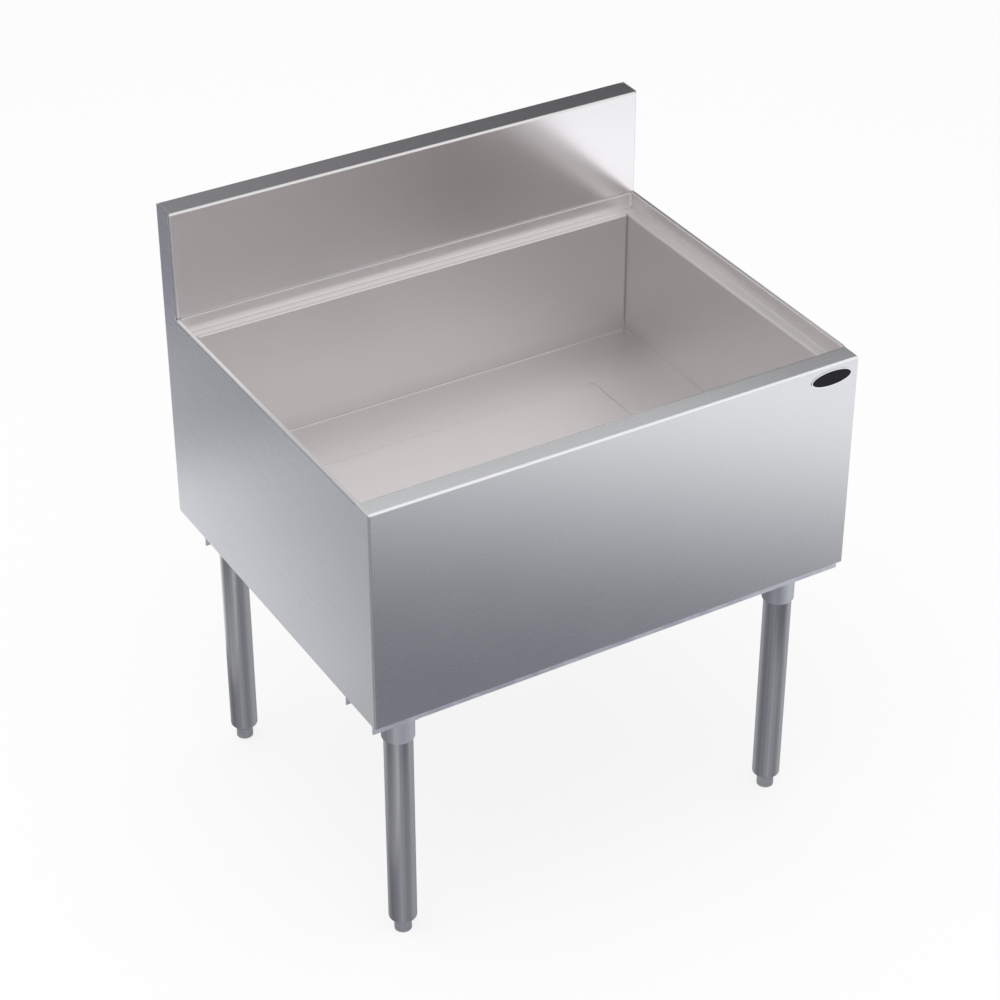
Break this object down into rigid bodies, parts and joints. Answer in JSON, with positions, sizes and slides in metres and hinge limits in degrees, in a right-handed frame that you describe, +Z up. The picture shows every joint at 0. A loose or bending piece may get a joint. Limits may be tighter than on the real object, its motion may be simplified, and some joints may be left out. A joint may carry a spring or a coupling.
{
  "type": "underbar ice bin",
  "caption": "Insulated stainless underbar ice bin with a recessed ledge, a boxed backsplash and a floor drain, standing on tubular legs with screw-adjusted bullet feet.",
  "frame": {"origin": "on the floor, at the centre of the bounding box's base", "axes": "+X to the right seen from the front, +Y to the back, +Z up"},
  "size_m": [0.762, 0.6096, 0.9335],
  "materials": {
    "stainless_panel": "satin brushed stainless steel",
    "stainless_liner": "satin stainless steel",
    "galvanised_steel": "galvanised steel",
    "foam": "rigid closed-cell foam",
    "leg_steel": "drawn stainless steel tube",
    "foot_steel": "turned stainless steel",
    "screw_steel": "zinc plated",
    "rivet_aluminium": "plain aluminium",
    "drain_steel": "stainless steel",
    "drain_chrome": "chrome-plated brass",
    "drain_brass": "cast brass",
    "seal_rubber": "black rubber",
    "fibre_washer": "red-brown fibre",
    "badge_bright": "bright border",
    "badge_black": "gloss black, bare"
  },
  "bodies": {
    "ice_bin": {"front_apron": "stainless_panel", "left_side_panel": "stainless_panel", "right_side_panel": "stainless_panel", "backsplash": "stainless_panel", "bin_liner": "stainless_liner", "rear_panel": "galvanised_steel", "bottom_pan": "galvanised_steel", "front_leg_channel": "galvanised_steel", "rear_leg_channel": "galvanised_steel", "front_insulation": "foam", "rear_insulation": "foam", "left_insulation": "foam", "right_insulation": "foam", "bottom_insulation": "foam", "front_left_leg_socket": "leg_steel", "front_right_leg_socket": "leg_steel", "rear_left_leg_socket": "leg_steel", "rear_right_leg_socket": "leg_steel", "front_left_leg_tube": "leg_steel", "front_right_leg_tube": "leg_steel", "rear_left_leg_tube": "leg_steel", "rear_right_leg_tube": "leg_steel", "front_left_foot_insert": "foot_steel", "front_right_foot_insert": "foot_steel", "rear_left_foot_insert": "foot_steel", "rear_right_foot_insert": "foot_steel", "channel_screws": "screw_steel", "socket_set_screws": "screw_steel", "strainer_screw": "screw_steel", "rear_panel_rivets": "rivet_aluminium", "drain_body": "drain_steel", "drain_strainer": "drain_steel", "drain_tailpiece": "drain_chrome", "drain_locknut": "drain_brass", "drain_gasket": "seal_rubber", "drain_grommet": "seal_rubber", "drain_washer": "fibre_washer", "badge_frame": "badge_bright", "badge_face": "badge_black"},
    "front_left_stud": {"front_left_foot_stud": "foot_steel"},
    "front_left_foot": {"front_left_bullet_foot": "foot_steel"},
    "front_right_stud": {"front_right_foot_stud": "foot_steel"},
    "front_right_foot": {"front_right_bullet_foot": "foot_steel"},
    "rear_left_stud": {"rear_left_foot_stud": "foot_steel"},
    "rear_left_foot": {"rear_left_bullet_foot": "foot_steel"},
    "rear_right_stud": {"rear_right_foot_stud": "foot_steel"},
    "rear_right_foot": {"rear_right_bullet_foot": "foot_steel"}
  },
  "joints": [
    {"name": "front_left_foot_travel", "type": "slide", "parent": "ice_bin", "child": "front_left_stud", "axis": [0, 0, -1], "range_m": [0, 0.0254]},
    {"name": "front_left_foot_turn", "type": "hinge", "parent": "front_left_stud", "child": "front_left_foot", "pos_m": [-0.3153, -0.244, 0.0135], "axis": [0, 0, -1], "range_deg": [0, 3960]},
    {"name": "front_right_foot_travel", "type": "slide", "parent": "ice_bin", "child": "front_right_stud", "axis": [0, 0, -1], "range_m": [0, 0.0254]},
    {"name": "front_right_foot_turn", "type": "hinge", "parent": "front_right_stud", "child": "front_right_foot", "pos_m": [0.3153, -0.244, 0.0135], "axis": [0, 0, -1], "range_deg": [0, 3960]},
    {"name": "rear_left_foot_travel", "type": "slide", "parent": "ice_bin", "child": "rear_left_stud", "axis": [0, 0, -1], "range_m": [0, 0.0254]},
    {"name": "rear_left_foot_turn", "type": "hinge", "parent": "rear_left_stud", "child": "rear_left_foot", "pos_m": [-0.3153, 0.2663, 0.0135], "axis": [0, 0, -1], "range_deg": [0, 3960]},
    {"name": "rear_right_foot_travel", "type": "slide", "parent": "ice_bin", "child": "rear_right_stud", "axis": [0, 0, -1], "range_m": [0, 0.0254]},
    {"name": "rear_right_foot_turn", "type": "hinge", "parent": "rear_right_stud", "child": "rear_right_foot", "pos_m": [0.3153, 0.2663, 0.0135], "axis": [0, 0, -1], "range_deg": [0, 3960]}
  ],
  "couplings": [
    {"joint": "front_left_foot_travel", "follows": "front_left_foot_turn", "m_per_rad": 0.0003675},
    {"joint": "front_right_foot_travel", "follows": "front_right_foot_turn", "m_per_rad": 0.0003675},
    {"joint": "rear_left_foot_travel", "follows": "rear_left_foot_turn", "m_per_rad": 0.0003675},
    {"joint": "rear_right_foot_travel", "follows": "rear_right_foot_turn", "m_per_rad": 0.0003675}
  ]
}
